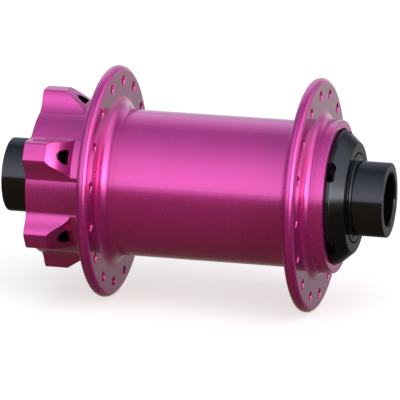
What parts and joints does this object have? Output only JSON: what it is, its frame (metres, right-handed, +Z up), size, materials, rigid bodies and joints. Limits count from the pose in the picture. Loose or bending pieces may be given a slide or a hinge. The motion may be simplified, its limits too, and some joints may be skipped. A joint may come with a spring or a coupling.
{
  "type": "bicycle hub",
  "caption": "Front bicycle hub for a thru-axle, with two drilled spoke flanges, a lobed rotor mount, sealed ball bearings, push-on end caps and a preload adjuster.",
  "frame": {"origin": "centre of the hub, midway between the outer faces of the two end caps, on the hub axis", "axes": "+Y along the hub axis towards the rotor mount (rider's left), +X forwards, +Z up"},
  "size_m": [0.0658, 0.11, 0.0658],
  "materials": {
    "anodised_magenta": "satin bead-blasted and magenta anodised",
    "anodised_black": "turned and black anodised, semi-matt",
    "axle_alloy": "turned and black anodised",
    "bearing_steel": "ground and polished",
    "cage_polymer": "moulded polyamide",
    "seal_rubber": "moulded, matt"
  },
  "bodies": {
    "axle_group": {"axle": "axle_alloy", "left_inner_race": "bearing_steel", "right_inner_race": "bearing_steel", "preload_spacer": "bearing_steel"},
    "hub_shell": {"hub_shell": "anodised_magenta", "left_outer_race": "bearing_steel", "right_outer_race": "bearing_steel", "left_inboard_seal": "seal_rubber", "left_outboard_seal": "seal_rubber", "right_inboard_seal": "seal_rubber", "right_outboard_seal": "seal_rubber"},
    "left_ball_set": {"left_ball_cage": "cage_polymer", "left_ball_01": "bearing_steel", "left_ball_02": "bearing_steel", "left_ball_03": "bearing_steel", "left_ball_04": "bearing_steel", "left_ball_05": "bearing_steel", "left_ball_06": "bearing_steel", "left_ball_07": "bearing_steel", "left_ball_08": "bearing_steel", "left_ball_09": "bearing_steel", "left_ball_10": "bearing_steel", "left_ball_11": "bearing_steel", "left_ball_12": "bearing_steel", "left_ball_13": "bearing_steel", "left_ball_14": "bearing_steel", "left_ball_15": "bearing_steel"},
    "right_ball_set": {"right_ball_cage": "cage_polymer", "right_ball_01": "bearing_steel", "right_ball_02": "bearing_steel", "right_ball_03": "bearing_steel", "right_ball_04": "bearing_steel", "right_ball_05": "bearing_steel", "right_ball_06": "bearing_steel", "right_ball_07": "bearing_steel", "right_ball_08": "bearing_steel", "right_ball_09": "bearing_steel", "right_ball_10": "bearing_steel", "right_ball_11": "bearing_steel", "right_ball_12": "bearing_steel", "right_ball_13": "bearing_steel", "right_ball_14": "bearing_steel", "right_ball_15": "bearing_steel"},
    "preload_adjuster": {"preload_adjuster": "anodised_black", "adjuster_o_ring": "seal_rubber"},
    "left_end_cap": {"left_end_cap": "anodised_black", "left_cap_o_ring": "seal_rubber"},
    "right_end_cap": {"right_end_cap": "anodised_black", "right_cap_o_ring": "seal_rubber"}
  },
  "joints": [
    {"name": "hub_spin", "type": "hinge", "parent": "axle_group", "child": "hub_shell", "pos_m": [0, 0, 0], "axis": [0, 1, 0], "continuous": true},
    {"name": "left_balls_roll", "type": "hinge", "parent": "axle_group", "child": "left_ball_set", "pos_m": [0, 0.0395, 0], "axis": [0, 1, 0], "continuous": true},
    {"name": "right_balls_roll", "type": "hinge", "parent": "axle_group", "child": "right_ball_set", "pos_m": [0, -0.0355, 0], "axis": [0, 1, 0], "continuous": true},
    {"name": "adjuster_turn", "type": "hinge", "parent": "axle_group", "child": "preload_adjuster", "pos_m": [0, -0.0425, 0], "axis": [0, 1, 0], "range_deg": [-90, 90]},
    {"name": "left_cap_pull", "type": "slide", "parent": "axle_group", "child": "left_end_cap", "axis": [0, 1, 0], "range_m": [0, 0.02]},
    {"name": "right_cap_pull", "type": "slide", "parent": "axle_group", "child": "right_end_cap", "axis": [0, -1, 0], "range_m": [0, 0.02]}
  ],
  "couplings": [
    {"joint": "left_balls_roll", "follows": "hub_spin", "ratio": 0.5565},
    {"joint": "right_balls_roll", "follows": "hub_spin", "ratio": 0.5565}
  ]
}
